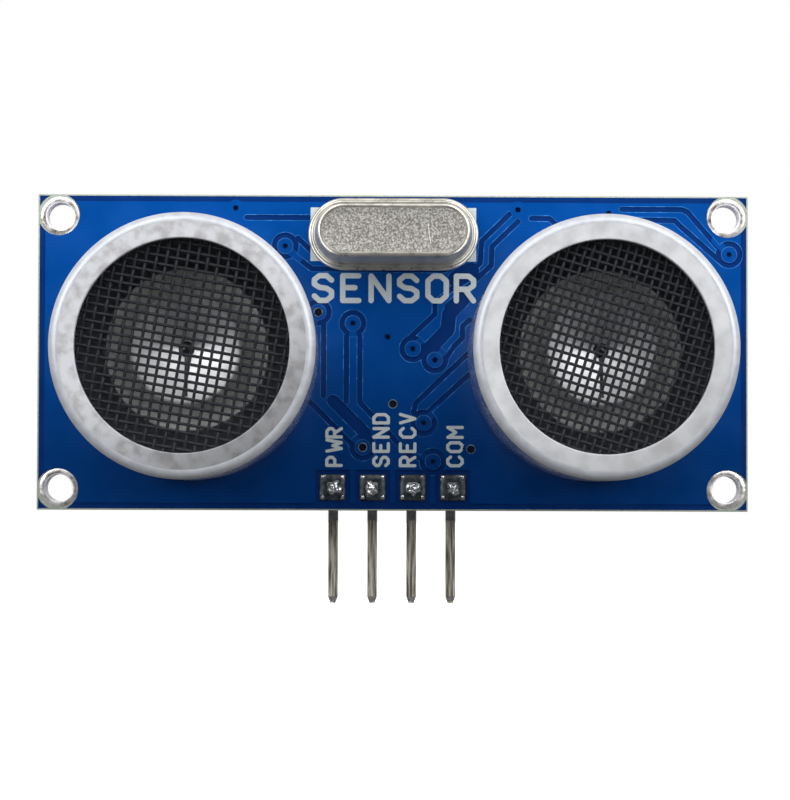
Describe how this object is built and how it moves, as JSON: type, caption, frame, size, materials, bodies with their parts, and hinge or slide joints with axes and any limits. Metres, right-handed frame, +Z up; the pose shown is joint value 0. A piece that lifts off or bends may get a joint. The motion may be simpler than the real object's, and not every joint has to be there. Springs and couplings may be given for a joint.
{
  "type": "ultrasonic distance sensor",
  "caption": "Ultrasonic distance sensor: an upright circuit board with a transmitter can and a receiver can on its front, a crystal, chips on its back and a pin header pointing down.",
  "frame": {"origin": "centre of the circuit board's back face", "axes": "+Y points out of the back of the board, away from the transducers; +X runs along the board, to the right seen from the transducers; +Z is up, away from the header pins"},
  "size_m": [0.045, 0.0181, 0.026],
  "materials": {
    "board_laminate": "satin blue solder mask on laminate",
    "tinned_copper": "bright tinned copper",
    "can_aluminium": "polished wall and satin rim",
    "screen_wire": "matte black woven wire",
    "cone_metal": "bright spun aluminium",
    "disc_metal": "satin",
    "piezo_ceramic": "matte fired ceramic",
    "silicone": "soft white silicone",
    "glue_drop": "glossy cured glue",
    "base_plastic": "matte moulded plastic",
    "lead_wire": "tinned wire",
    "crystal_nickel": "frosted nickel plating",
    "quartz": "clear polished quartz",
    "header_plastic": "satin black nylon",
    "pin_metal": "tinned, with faint drawing streaks",
    "solder": "shiny solder",
    "chip_plastic": "matte black epoxy",
    "resistor_body": "black glaze on ceramic",
    "capacitor_body": "tan ceramic"
  },
  "bodies": {
    "root": {"amplifier_chip": "chip_plastic", "charge_capacitor": "capacitor_body", "circuit_board": "board_laminate", "controller_chip": "chip_plastic", "corner_ring_lower_left": "tinned_copper", "corner_ring_lower_right": "tinned_copper", "corner_ring_upper_left": "tinned_copper", "corner_ring_upper_right": "tinned_copper", "crystal_base": "crystal_nickel", "crystal_cover": "crystal_nickel", "crystal_lead_left": "lead_wire", "crystal_lead_right": "lead_wire", "crystal_quartz_blank": "quartz", "crystal_solder_left": "solder", "crystal_solder_right": "solder", "driver_chip": "chip_plastic", "filter_capacitor": "capacitor_body", "gain_resistor": "resistor_body", "header_body": "header_plastic", "header_pin_1": "pin_metal", "header_pin_2": "pin_metal", "header_pin_3": "pin_metal", "header_pin_4": "pin_metal", "header_solder_1": "solder", "header_solder_2": "solder", "header_solder_3": "solder", "header_solder_4": "solder", "pull_up_resistor": "resistor_body", "receiver_base": "base_plastic", "receiver_case": "can_aluminium", "receiver_cone": "cone_metal", "receiver_cone_glue": "glue_drop", "receiver_diaphragm": "disc_metal", "receiver_jumper_to_diaphragm": "lead_wire", "receiver_jumper_to_piezo": "lead_wire", "receiver_lead_left": "lead_wire", "receiver_lead_right": "lead_wire", "receiver_piezo_disc": "piezo_ceramic", "receiver_screen": "screen_wire", "receiver_solder_left": "solder", "receiver_solder_right": "solder", "receiver_support_ring": "silicone", "supply_capacitor": "capacitor_body", "switching_transistor": "chip_plastic", "transmitter_base": "base_plastic", "transmitter_case": "can_aluminium", "transmitter_cone": "cone_metal", "transmitter_cone_glue": "glue_drop", "transmitter_diaphragm": "disc_metal", "transmitter_jumper_to_diaphragm": "lead_wire", "transmitter_jumper_to_piezo": "lead_wire", "transmitter_lead_left": "lead_wire", "transmitter_lead_right": "lead_wire", "transmitter_piezo_disc": "piezo_ceramic", "transmitter_screen": "screen_wire", "transmitter_solder_left": "solder", "transmitter_solder_right": "solder", "transmitter_support_ring": "silicone"}
  },
  "joints": []
}
